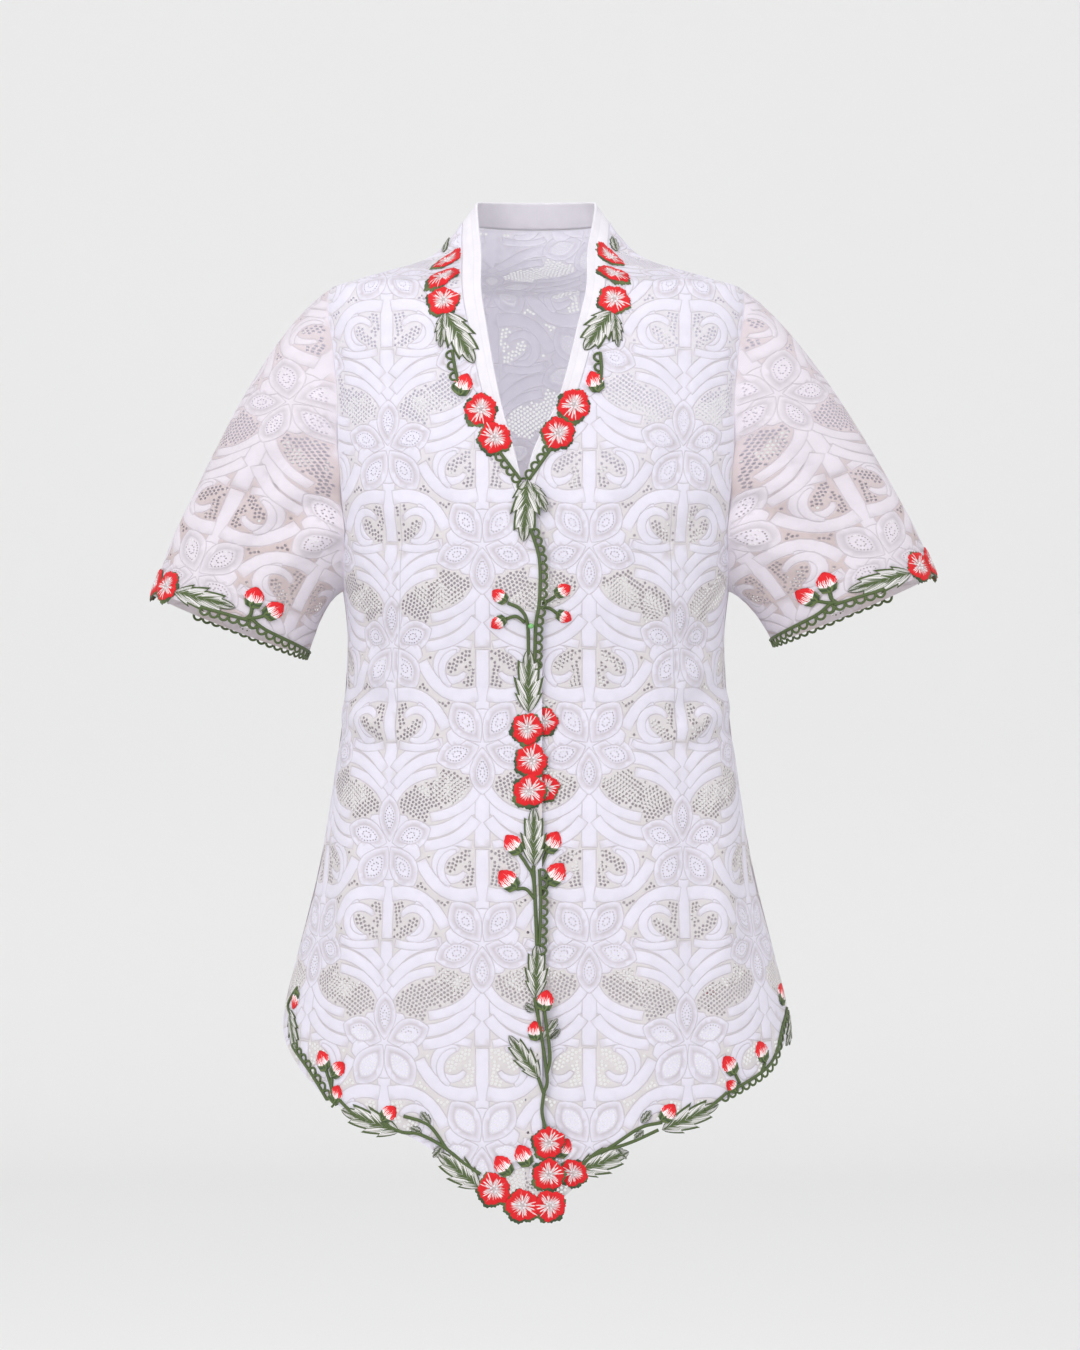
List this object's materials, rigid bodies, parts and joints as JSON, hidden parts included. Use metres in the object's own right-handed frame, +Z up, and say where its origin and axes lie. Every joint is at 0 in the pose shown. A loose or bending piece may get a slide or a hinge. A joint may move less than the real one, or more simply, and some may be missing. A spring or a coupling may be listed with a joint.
{
  "type": "lace kebaya blouse",
  "caption": "Short-sleeved lace kebaya blouse with a folded neck band, lapped open-V front, pointed front hem and flower embroidery along its edges.",
  "frame": {"origin": "midway between the two places at the base of the neck where the shoulders carry the blouse", "axes": "+Z up toward the neck, the front faces -Y, +X is the wearer's left"},
  "size_m": [0.6718, 0.2636, 0.8613],
  "materials": {
    "front_right": "matt figured lace",
    "front_left": "matt figured lace",
    "back": "matt figured lace",
    "neck_band": "matt figured lace, folded double",
    "sleeve_right": "matt figured lace",
    "sleeve_left": "matt figured lace",
    "edging_front_right": "satin-stitch embroidery in red, white and green",
    "edging_front_left": "satin-stitch embroidery in red, white and green",
    "edging_hem_right": "satin-stitch embroidery in red, white and green",
    "edging_hem_left": "satin-stitch embroidery in red, white and green",
    "edging_hem_back": "satin-stitch embroidery in red, white and green",
    "edging_sleeve_right": "satin-stitch embroidery in red, white and green",
    "edging_sleeve_left": "satin-stitch embroidery in red, white and green",
    "front_bead": "glossy green"
  },
  "bodies": {
    "root": {"front_right": "front_right", "front_left": "front_left", "back": "back", "neck_band": "neck_band", "sleeve_right": "sleeve_right", "sleeve_left": "sleeve_left", "edging_front_right": "edging_front_right", "edging_front_left": "edging_front_left", "edging_hem_right": "edging_hem_right", "edging_hem_left": "edging_hem_left", "edging_hem_back": "edging_hem_back", "edging_sleeve_right": "edging_sleeve_right", "edging_sleeve_left": "edging_sleeve_left", "front_bead": "front_bead"}
  },
  "joints": []
}
